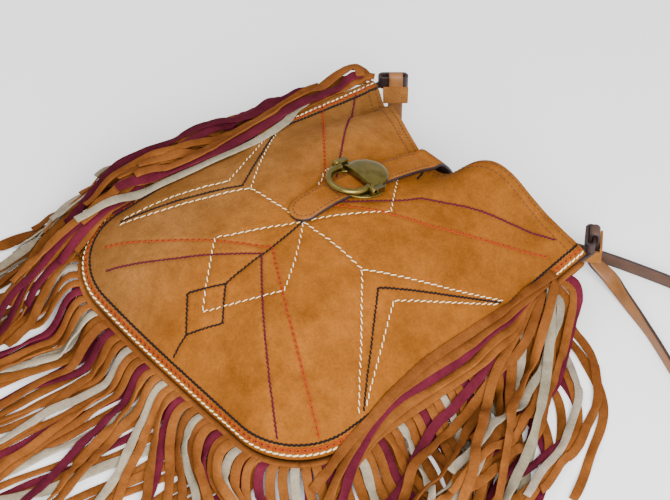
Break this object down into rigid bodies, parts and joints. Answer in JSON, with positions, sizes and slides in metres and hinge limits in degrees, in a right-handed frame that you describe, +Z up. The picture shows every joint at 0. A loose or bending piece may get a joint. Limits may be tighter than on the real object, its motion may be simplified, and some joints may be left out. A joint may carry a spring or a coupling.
{
  "type": "fringe crossbody bag",
  "caption": "Soft suede crossbody bag lying on its back, with geometric topstitching, a fringed seam in mixed colours, a closure tab with a brass ring clasp and a long shoulder strap.",
  "frame": {"origin": "on the flat of the back panel, midway between its sides, where the bag lies on the surface", "axes": "+X across the bag to the side the strap lies on, +Y from the bottom to the mouth, +Z up from the surface through the front panel"},
  "size_m": [0.6268, 0.5219, 0.0983],
  "materials": {
    "tan_suede": "napped suede",
    "burgundy_suede": "napped suede",
    "bone_suede": "napped suede",
    "brown_leather": "smooth leather with dark edges",
    "antique_brass": "antique brass"
  },
  "bodies": {
    "bag": {"front_panel": "tan_suede", "back_panel": "tan_suede", "fringe_left_burgundy": "burgundy_suede", "fringe_left_tan": "tan_suede", "fringe_left_bone": "bone_suede", "fringe_bottom_burgundy": "burgundy_suede", "fringe_bottom_tan": "tan_suede", "fringe_bottom_bone": "bone_suede", "fringe_right_burgundy": "burgundy_suede", "fringe_right_tan": "tan_suede", "fringe_right_bone": "bone_suede", "closure_tab": "tan_suede", "clasp_base": "antique_brass", "anchor_left": "brown_leather", "anchor_right": "brown_leather", "keeper_left": "brown_leather", "keeper_right": "brown_leather", "shoulder_strap": "brown_leather"},
    "ring": {"clasp_ring": "antique_brass"}
  },
  "joints": [
    {"name": "clasp_ring_hinge", "type": "hinge", "parent": "bag", "child": "ring", "pos_m": [-0.0017, 0.03502, 0.09376], "axis": [-1, 0, 0], "range_deg": [0, 100]}
  ]
}
